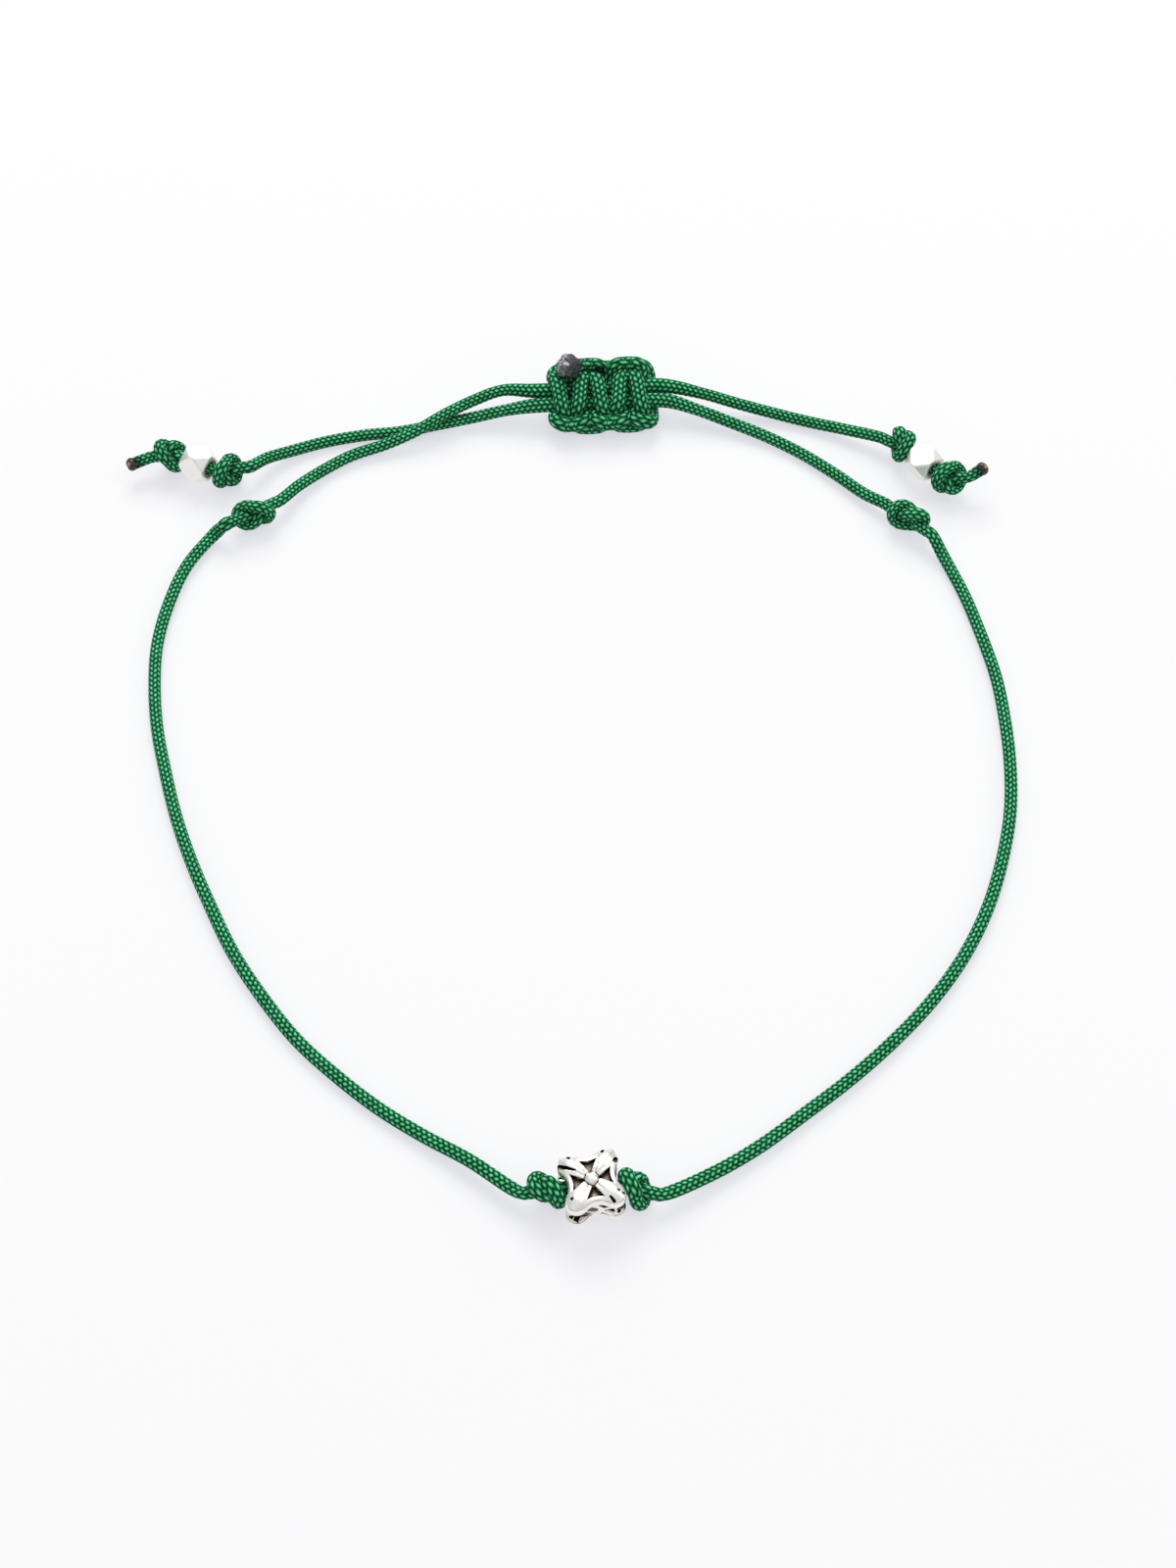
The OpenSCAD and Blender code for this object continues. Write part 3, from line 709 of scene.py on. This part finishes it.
def flattening(route, part, wrapped):
    """How a cord is pressed out of round: the way it is pressed, the shares by which it grows
    wider and thinner, and how much its bend pulls its yarns smooth."""
    line, ahead, bend = route.line[part], route.ahead[part], route.bend[part]
    much = np.linalg.norm(bend, axis=1)
    flat = np.clip(BEND_FLATTENS * much * route.radius[part] - BEND_FREE, 0, MOST_FLAT)
    if not wrapped:
        # A bent cord is pressed towards the bend's centre
        return bend / np.maximum(much, 1e-6)[:, None], BEND_WIDENS * flat, flat, flat
    # A cord wrapped round a seat's axis is pressed against it
    axis = direction(*wrapped[3:5])
    inwards = np.array(wrapped[:3]) - line
    inwards -= (inwards @ axis)[:, None] * axis
    inwards -= (inwards * ahead).sum(1)[:, None] * ahead
    towards = smoothed(inwards / np.linalg.norm(inwards, axis=1)[:, None], 5)
    return towards, np.full(len(line), WRAPPED_WIDER), np.zeros(len(line)), flat


def tube_faces(rings):
    """Quads between the rings, and triangles to a middle point at each end."""
    k = np.arange(SIDES)
    after = (k + 1) % SIDES
    base = (np.arange(rings - 1) * SIDES)[:, None]
    quads = np.stack([base + k, base + after, base + SIDES + after, base + SIDES + k], 2)
    end = (rings - 1) * SIDES
    first_cap = np.stack([np.full(SIDES, rings * SIDES), after, k], 1)
    last_cap = np.stack([np.full(SIDES, rings * SIDES + 1), end + k, end + after], 1)
    return quads.reshape(-1, 4).tolist() + first_cap.tolist() + last_cap.tolist()


def floor_and_turn_shade(route, part, out):
    """Painted shade at each point of a cord, from 0 to 1: on the low side beside the floor, and
    deep between turns. The floor's share counts less where another turn is near."""
    facing = out[:, :, 2] / np.linalg.norm(out, axis=2)
    # Painted shade on the side that faces the floor
    low = FLOOR_SHADE * np.clip((0.5 - facing) / 0.8, 0, 1)
    deep = np.zeros(low.shape)
    for i, (middle, s) in enumerate(zip(route.line[part], route.s[part])):
        near = NEIGHBOURS.of(route, s, middle)
        if len(near):
            away = np.linalg.norm((middle + out[i])[:, None, :] - near[None], axis=2).min(1)
            # Painted shade where another turn comes close
            deep[i] = TURN_SHADE * np.exp(-np.clip(away - FULL_R, 0, None) / TURN_FADE)
            low[i] *= FLOOR_SHADE_LEFT
    return np.maximum(low, deep)


def make_piece(name, vertices, faces, marks, material):
    """A smooth mesh, with vertices in mm and a number at each vertex under every mark's name."""
    mesh = bpy.data.meshes.new(name)
    mesh.from_pydata((vertices * MM).tolist(), [], faces)
    mesh.polygons.foreach_set("use_smooth", np.ones(len(mesh.polygons), bool))
    for key, values in marks.items():
        layer = mesh.attributes.new(key, "FLOAT", "POINT")
        layer.data.foreach_set("value", values.astype(np.float32))
    mesh.materials.append(material)
    piece = bpy.data.objects.new(name, mesh)
    bpy.context.scene.collection.objects.link(piece)
    return piece


def dress(piece, node, slot):
    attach(piece, "root")
    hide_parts(node)


def cord_piece(node, route, first, last, wrapped=None, scorched=()):
    """The braided cord between two rings, scorched near the given points."""
    part = slice(first, last + 1)
    line, radius = route.line[part], route.radius[part]
    towards, wider, thinner, flat = flattening(route, part, wrapped)
    around = np.arange(SIDES) * CARRIERS / SIDES
    along = route.s[part] / (GRAIN / 2)
    drop, crest, float_glint = braid_surface(around[None, :], along[:, None])
    drop = drop * (1 - BEND_SMOOTHS * flat[:, None]) * (radius / FULL_R)[:, None]
    angle = (np.arange(SIDES) * 2 * np.pi / SIDES)[None, :, None]
    round_cord = (np.cos(angle) * route.side[part][:, None, :]
                  + np.sin(angle) * route.up[part][:, None, :])
    out = (radius[:, None] - drop)[:, :, None] * round_cord
    pressed = (wider + thinner)[:, None] * np.einsum("ijk,ik->ij", out, towards)
    out = out * (1 + wider)[:, None, None] - pressed[:, :, None] * towards[:, None, :]
    surface = line[:, None, :] + out
    vertices = np.vstack([surface.reshape(-1, 3), line[0], line[-1]])
    # What presses on the floor is flat
    vertices[:, 2] = np.maximum(vertices[:, 2], 0)
    scorch = np.zeros(crest.shape)
    for point, reach in scorched:
        away = np.linalg.norm(surface - np.array(point), axis=2)
        scorch = np.maximum(scorch, np.clip(1.5 - 1.5 * away / reach, 0, 0.9))
    marks = {"crest": crest, "float_glint": float_glint, "scorch": scorch,
             "painted_shade": floor_and_turn_shade(route, part, out)}
    # The two middle points of the ends have no braid
    marks = {key: np.append(values.reshape(-1), [0, 0]) for key, values in marks.items()}
    piece = make_piece(node + "_braid", vertices, tube_faces(len(line)), marks, CORD)
    dress(piece, node, "braided_cord")
    return piece


def main_radii(cuts, points):
    """Full size in the open, changed inside a knot and where the sliding knot holds the cord."""
    radii = np.full(len(points), FULL_R)
    for name, start, end in cuts:
        if "knot" in name:
            radii[start + 3:end - 2] = KNOTTED_R
        if "closing" in name:
            for k in range(start, end + 1):
                if np.linalg.norm(points[k] - SLIDING[:3]) < CORE_HALF + GRIPPED_BEYOND:
                    radii[k] = GRIPPED_R
    return radii


def strand_radii(cuts, points):
    """The strands swell where they turn back at the sliding knot's two long sides."""
    off = np.cross(np.array(points) - SLIDING[:3], direction(*SLIDING[3:5]))
    return STRAND_R + STRAND_SWELL * np.clip((np.linalg.norm(off, axis=1) - 1.7) / 0.6, 0, 1)


KNOT_CORD = Route([("sliding_knot", sliding_knot_route())], strand_radii)
MAIN_CORD = Route(main_cord_stretches(), main_radii)
NEIGHBOURS = Neighbours([MAIN_CORD, KNOT_CORD])
TIP_OF = {"tail_knot_outer_left": TIP_LEFT, "tail_knot_outer_right": TIP_RIGHT}


def make_cords():
    for name, start, end in MAIN_CORD.cuts:
        first, last = MAIN_CORD.ring_of(start), MAIN_CORD.ring_of(end)
        scorched = [(TIP_OF[name], 1.3)] if name in TIP_OF else []
        piece = cord_piece(name, MAIN_CORD, first, last, scorched=scorched)
        if "cord" in name:
            path = MAIN_CORD.line[first:last + 1] * MM
            tuple(path[0])
    singed = [(UPPER_END, 1.5), (LOWER_END, 0.9), (DARK_AT_BACK, 0.9)]
    singed = [(in_strands(point), reach) for point, reach in singed]
    cord_piece("sliding_knot", KNOT_CORD, 0, len(KNOT_CORD.s) - 1, wrapped=SLIDING, scorched=singed)


make_cords()


# ---- Solids given by a distance function ----

# The two halves of a grid's axis that pair every point with the next one
HALVES = (slice(0, -1), slice(1, None))


def surface_points(values):
    """For each grid cell that the surface crosses, the mean of its crossings, in cells."""
    shape = tuple(n - 1 for n in values.shape)
    total, count = np.zeros((*shape, 3)), np.zeros(shape)
    for axis in range(3):
        others = [k for k in range(3) if k != axis]
        for sides in ((0, 0), (0, 1), (1, 0), (1, 1)):
            low_part, high_part, corner = [None] * 3, [None] * 3, np.zeros(3)
            low_part[axis], high_part[axis] = HALVES
            for k, side in zip(others, sides):
                low_part[k] = high_part[k] = HALVES[side]
                corner[k] = side
            va, vb = values[tuple(low_part)], values[tuple(high_part)]
            cross = (va < 0) != (vb < 0)
            share = np.where(cross, va / np.where(cross, va - vb, 1), 0)
            for k in range(3):
                total[..., k] += np.where(cross, corner[k] + (share if k == axis else 0), 0)
            count += cross
    active = count > 0
    number = np.full(shape, -1)
    number[active] = np.arange(active.sum())
    return np.argwhere(active) + total[active] / count[active][:, None], number


def surface_nets(values):
    """Vertices, in cells, and quads of the surface where the grid's values cross zero.

    Inside is negative."""
    inside = values < 0
    vertices, number = surface_points(values)
    quads = []
    for axis in range(3):
        low_part, high_part = [slice(1, -1)] * 3, [slice(1, -1)] * 3
        low_part[axis], high_part[axis] = HALVES
        ia, ib = inside[tuple(low_part)], inside[tuple(high_part)]
        at = np.argwhere(ia != ib)
        cells = []
        for d1, d2 in ((0, 0), (1, 0), (1, 1), (0, 1)):
            c = at.copy()
            c[:, (axis + 1) % 3] += d1
            c[:, (axis + 2) % 3] += d2
            cells.append(number[tuple(c.T)])
        quad = np.stack(cells, 1)
        flip = ~ia[ia != ib]
        quad[flip] = quad[flip][:, ::-1]
        quads.append(quad)
    return vertices, np.vstack(quads)


def gradient(distance, p, h=0.004):
    return np.stack([
        (distance(*(p + h * e).T) - distance(*(p - h * e).T)) / (2 * h) for e in np.eye(3)
    ], 1)


def hollowness(distance, p):
    """How far the points lie in a hollow: what the surface's normal runs into at three lengths."""
    g = gradient(distance, p)
    normal = g / np.linalg.norm(g, axis=1)[:, None]
    hollow = np.zeros(len(p))
    reaches = (0.12, 0.25, 0.45)
    for h in reaches:
        hollow += np.clip(1 - distance(*(p + h * normal).T) / h, 0, 1) / len(reaches)
    return hollow


def solid_piece(name, distance, half, cell, seat, material, stain_and_highlight):
    """The solid where distance(x, y, z) is below zero, in a grid of this half size, in its seat."""
    axes = [np.arange(-a, a + cell, cell) for a in half]
    vertices, quads = surface_nets(distance(*np.meshgrid(*axes, indexing="ij")))
    p = vertices * cell - np.array(half)
    for _ in range(3):
        # Nearer to the true surface, by half a cell at most
        g = gradient(distance, p)
        move = distance(*p.T)[:, None] * g / np.maximum((g**2).sum(1), 0.2)[:, None]
        p = p - np.clip(move, -0.5 * cell, 0.5 * cell)
    marks = {"hollow": hollowness(distance, p), "stain_and_highlight": stain_and_highlight(*p.T)}
    return make_piece(name, placed(seat, p.T).T, quads.tolist(), marks, material)


def soft_min(a, b, k):
    h = np.clip(0.5 + 0.5 * (b - a) / k, 0, 1)
    return b + (a - b) * h - k * h * (1 - h)


def soft_max(a, b, k):
    return -soft_min(-a, -b, k)


def step_up(a, b, x):
    """From 0 at a to 1 at b."""
    t = np.clip((x - a) / (b - a), 0, 1)
    return t * t * (3 - 2 * t)


def capsule(x, y, z, a, b, r):
    """Distance to a rod with round ends, from a to b."""
    a, b = np.array(a), np.array(b)
    d = b - a
    x, y, z = x - a[0], y - a[1], z - a[2]
    t = np.clip((x * d[0] + y * d[1] + z * d[2]) / (d @ d), 0, 1)
    return np.sqrt((x - t * d[0])**2 + (y - t * d[1])**2 + (z - t * d[2])**2) - r


# ---- Charm ----

CHARM_TURN = 12
CHARM_HALF = (2.8, 2.8, 1.98)
# Each petal ends in a round lobe. The outline between two petals is scooped out by a circle
LOBE_REACH, LOBE_R = 1.85, 0.8
SCALLOP_X, SCALLOP_R = 2.947, 1.297
CHARM_CELL = 0.046
# Heights above the charm's middle
FACE_UNDER, FACE_TOP = 0.66, 1.60
TRIANGLE_FLOOR = 1.16
SLOT_FLOOR = 1.36
POCKET_TOP = 1.06
WAIST_HALF = 0.9
BALL_UP, BALL_R = 1.38, 0.56
# How a petal's dome rises over the face, falls at its tip and its edges, and its veins' depth
DOME_RISE, TIP_FALL, EDGE_FALL, VEIN_DEPTH = 0.27, 0.36, 0.12, 0.05
# How far the outer edges and the edges of the cuts are rounded
EDGE_SOFT, CUT_SOFT = 0.22, 0.05
CORE_R = 1.15
POST_OUT, POST_R = 1.6, 0.30
COLLAR_R, COLLAR_END = 0.86, 1.62
STRUT_FROM, STRUT_TO, STRUT_R = (1.50, 0.60, 0.10), (1.62, 1.55, 0.78), 0.17
CHARM_BORE_R = 0.62
SIDE_HOLE_R, SIDE_HOLE_FROM = 0.42, 0.8
# Petal's direction before the turn, then along and across it: from, to, and the radius at both
CHARM_SLOTS = [
    (225, 1.92, -0.31, 1.99, -0.32, 0.08, 0.09),
    (315, 1.93, 0.31, 1.99, 0.31, 0.06, 0.07),
    (315, 2.30, 0.36, 2.36, 0.36, 0.06, 0.07),
    (315, 1.77, -0.40, 2.13, -0.48, 0.07, 0.10),
    (45, 2.00, 0.46, 2.10, 0.50, 0.09, 0.12),
    (45, 1.96, -0.56, 2.14, -0.58, 0.12, 0.16),
    (135, 1.23, 0.16, 2.33, 0.45, 0.05, 0.15),
    (135, 2.08, -0.38, 2.18, -0.40, 0.08, 0.10),
]


def along_petal(x, y):
    """Distances along and across the nearest of the four petals, which point to 45 degrees."""
    r, angle = np.hypot(x, y), np.arctan2(y, x)
    petal = np.mod(angle, np.pi / 2) - np.pi / 4
    return r * np.cos(petal), np.abs(r * np.sin(petal))


def along_recess(x, y):
    """Distances along and across the nearest of the four recesses between the petals."""
    r, angle = np.hypot(x, y), np.arctan2(y, x)
    recess = np.mod(angle + np.pi / 4, np.pi / 2) - np.pi / 4
    return r * np.cos(recess), np.abs(r * np.sin(recess))


def charm_cuts(x, y, up):
    """What is cut into both faces. Inside a cut is negative."""
    u, v = along_petal(x, y)
    p, w = along_recess(x, y)
    # Dark triangles between the petals
    rim = SCALLOP_R + 0.36 - np.hypot(p - SCALLOP_X, w)
    triangle = np.maximum((w - (p - 0.42) * 0.60) * 0.86, rim)
    cut = np.maximum(triangle, TRIANGLE_FLOOR + 0.10 * (p - 0.9) ** 2 - up)
    # Worn slots and pits near each petal's end
    for turn, u1, v1, u2, v2, r1, r2 in CHARM_SLOTS:
        a, b = turned(x, y, -turn)
        a, b, du, dv = a - u1, b - v1, u2 - u1, v2 - v1
        share = np.clip((a * du + b * dv) / (du**2 + dv**2), 0, 1)
        slot = np.hypot(a - du * share, b - dv * share) - (r1 + (r2 - r1) * share)
        cut = np.minimum(cut, np.maximum(slot, SLOT_FLOOR - 0.14 * share - up))
    # A pair of pockets, with a rib between them, under each petal's end
    sides = np.maximum(0.07 - v, (v - (u - 1.30) * 0.42) * 0.92)
    return np.minimum(cut, np.maximum(sides, np.maximum(u - 2.38, up - POCKET_TOP)))


def charm_face(x, y, up):
    """One face with its four petals, a ball in their middle, and everything cut into it."""
    u, v = along_petal(x, y)
    p, w = along_recess(x, y)
    lobe = np.hypot(u - LOBE_REACH, v) - LOBE_R
    scoop = np.maximum(SCALLOP_R - np.hypot(p - SCALLOP_X, w), u - 1.9)
    # A petal is a dome that falls away at its tip, with a vein on each side
    ridge = np.exp(-(v / 0.5)**2) * step_up(0.2, 0.9, u)
    vein = np.exp(-((v - 0.09 - 0.12 * u) / 0.08)**2)
    vein = vein * step_up(0.45, 0.65, u) * (1 - step_up(1.0, 1.3, u))
    top = FACE_TOP + DOME_RISE * ridge - TIP_FALL * step_up(1.8, 2.7, u) - VEIN_DEPTH * vein
    top = top - EDGE_FALL * step_up(0.35, 0.8, v) * step_up(1.2, 2.0, u)
    outline, height = soft_min(lobe, scoop, 0.08), np.maximum(up - top, FACE_UNDER - up)
    face = soft_max(outline, height, EDGE_SOFT)
    face = soft_max(face, -charm_cuts(x, y, up), CUT_SOFT)
    return soft_min(face, np.sqrt(x**2 + y**2 + (up - BALL_UP)**2) - BALL_R, 0.02)


def charm_distance(x, y, z):
    """The flower charm about its own middle: two faces, and a pierced waist between them."""
    up = np.abs(z)
    u, v = along_petal(x, y)
    # The cord's own directions
    xb, yb = turned(x, y, CHARM_TURN - CHARM[3])
    # Waist: dark core, posts under the lobes, collars round the holes with struts beside them
    core = np.maximum(np.hypot(x, y) - CORE_R, up - WAIST_HALF)
    post = np.maximum(np.hypot(u - POST_OUT, v) - POST_R, up - WAIST_HALF)
    waist = soft_min(core, post, 0.15)
    for along, across in ((xb, yb), (yb, xb)):
        collar = np.maximum(np.hypot(across, z) - COLLAR_R, np.abs(along) - COLLAR_END)
        strut = capsule(np.abs(along), np.abs(across), up, STRUT_FROM, STRUT_TO, STRUT_R)
        waist = soft_min(soft_min(waist, collar, 0.06), strut, 0.05)
    solid = soft_min(charm_face(x, y, up), waist, 0.10)
    bore = np.hypot(yb, z) - CHARM_BORE_R
    side_hole = np.maximum(np.hypot(xb, z) - SIDE_HOLE_R, SIDE_HOLE_FROM - np.abs(yb))
    return soft_max(solid, -np.minimum(bore, side_hole), 0.06)


def charm_stain(x, y, z):
    """Brown in the floors of the dark triangles."""
    p, w = along_recess(x, y)
    inside = (w < (p - 0.50) * 0.60) & (np.hypot(p - SCALLOP_X, w) > SCALLOP_R + 0.40)
    return np.where(inside & (np.abs(z) < 1.30) & (np.abs(z) > 1.05), 0.8, 0.0)


def make_charm():
    seat = (*CHARM[:3], CHARM_TURN, 0, 0)
    piece = solid_piece(
        "flower_charm", charm_distance, CHARM_HALF, CHARM_CELL, seat, SILVER, charm_stain)
    dress(piece, "charm_bead", "silver")


make_charm()


# ---- Tail beads and melted ends ----

# Distance between two opposite cut corners, and the bore through the bead
BEAD_CORNERS = 2.95
BEAD_BORE_R = 0.56
BEAD_DISH = 0.12
BEAD_HALF, BEAD_CELL = (1.4,) * 3, 0.07
# A melted tip: its radius, the share of that which it reaches forward, and how far back it goes
TIP_R, TIP_FORWARD, TIP_BACK = 0.56, 0.86, 0.38
TIP_DENT, TIP_LUMPS = 0.05, 0.025
TIP_HALF, TIP_CELL = 0.8, 0.03
# A burnt end, in shares of its size: its ball, coarse and fine lumps, and where it is cut
BURNT_BALL, BURNT_COARSE, BURNT_FINE, BURNT_CUT = 0.93, 0.13, 0.05, 0.85


def bead_distance(x, y, z):
    """A cube with cut corners, soft edges and a dished bore along x."""
    ax, ay, az = np.abs(x), np.abs(y), np.abs(z)
    side = soft_max(soft_max(ax, ay, 0.14), az, 0.14) - BEAD_SIDE / 2
    corner = (ax + ay + az) / math.sqrt(3) - BEAD_CORNERS / 2
    bore = np.hypot(y, z) - BEAD_BORE_R - BEAD_DISH * step_up(0.85, 1.2, ax)
    return soft_max(soft_max(side, corner, 0.10), -bore, 0.08)


def bead_stain(x, y, z):
    """Brown where the bead meets its knots, and along one scratch."""
    rim = step_up(1.0, 1.2, np.abs(x)) * (1 - step_up(0.68, 0.95, np.hypot(y, z)))
    scratch = np.exp(-((y + 0.45 * x - 0.25) / 0.07)**2) * (np.abs(x + 0.35) < 0.5) * (z > 0)
    return np.clip(0.8 * rim + 0.5 * scratch, 0, 1)


def lumps(x, y, z, size):
    """Smooth bumps of about this size, between -1 and 1."""
    k = 2 * np.pi / size
    return (np.sin(k * (x + 0.3 * y) + 1.3) * np.sin(k * (y - 0.4 * z) + 0.4)
            + np.sin(k * 1.7 * (z + 0.2 * x) + 2.1) * np.sin(k * 1.9 * (y + 0.5 * x) + 0.9)) / 2


def tip_distance(x, y, z):
    """A melted cap: wider than the cord, rounded at its end, with a shallow dent in its middle."""
    r = np.hypot(y, z)
    cap = np.sqrt((x / TIP_FORWARD)**2 + r**2) - TIP_R
    body = soft_max(cap, -TIP_BACK - x, 0.12)
    dent = TIP_DENT * np.exp(-(r / 0.22)**2) * step_up(0.2, 0.4, x)
    return body + dent - TIP_LUMPS * lumps(x, y, z, 0.9)


def tip_highlight(side):
    """Painted highlight: pale honey on the upper outer face."""
    def stain_and_highlight(x, y, z):
        return np.exp(-((x - 0.28)**2 + (y - 0.22 * side)**2 + (z - 0.40)**2) / 0.27**2)
    return stain_and_highlight


def burnt_distance(radius):
    """A lumpy ball of melted cord, cut flat where it meets the cord."""
    def distance(x, y, z):
        ball = np.sqrt(x**2 + y**2 + z**2) - BURNT_BALL * radius
        coarse = BURNT_COARSE * radius * lumps(x, y, z, 1.7 * radius)
        fine = BURNT_FINE * radius * lumps(z, x, y, 0.6 * radius)
        return soft_max(ball - coarse - fine, -BURNT_CUT * radius - x, 0.1)
    return distance


def burnt_stain(x, y, z):
    """More ash on the upper side."""
    return step_up(-0.2, 0.9, 0.3 * x - 0.6 * y + 0.5 * z)


def seat_of(end, before):
    """A seat at a cord's end whose x axis carries on from the point before it."""
    d = unit(np.array(end) - np.array(before))
    return (*end, math.degrees(math.atan2(d[1], d[0])), math.degrees(math.asin(d[2])), 0)


def melted_piece(node, seat, distance, half, cell, look, stain_and_highlight):
    material, slot = look
    piece = solid_piece(node + "_melted", distance, (half,) * 3, cell, seat, material, stain_and_highlight)
    dress(piece, node, slot)


def make_tails():
    tails = [("left", INNER_LEFT, LEFT_TAIL_TURNS), ("right", INNER_RIGHT, RIGHT_TAIL_TURNS)]
    for side, inner, turns in tails:
        bead = solid_piece(f"tail_bead_{side}_cast", bead_distance, BEAD_HALF, BEAD_CELL,
                           bead_seat(inner, turns), FROSTED_SILVER, bead_stain)
        dress(bead, "tail_bead_" + side, "silver")
    # For each tip: the cord's point a little before it, and the side that is outer
    tips = [("left", TIP_LEFT, 6, 1), ("right", TIP_RIGHT, -7, -1)]
    for side, tip, before, outer in tips:
        melted_piece("tail_tip_" + side, seat_of(tip, MAIN_CORD.line[before]), tip_distance,
                     TIP_HALF, TIP_CELL, (TIP, "melted_tip"), tip_highlight(outer))
    # For each end: the cord's point a little before it, its size, and its grid's half size and cell
    burnt = [("upper", UPPER_END, -9, 1.1, 1.3, 0.05), ("lower", LOWER_END, 5, 0.28, 0.6, 0.025)]
    for side, end, before, radius, half, cell in burnt:
        seat = seat_of(in_strands(end), KNOT_CORD.line[before])
        melted_piece("burnt_end_" + side, seat, burnt_distance(radius), half, cell,
                     (BURNT, "burnt_end"), burnt_stain)


make_tails()
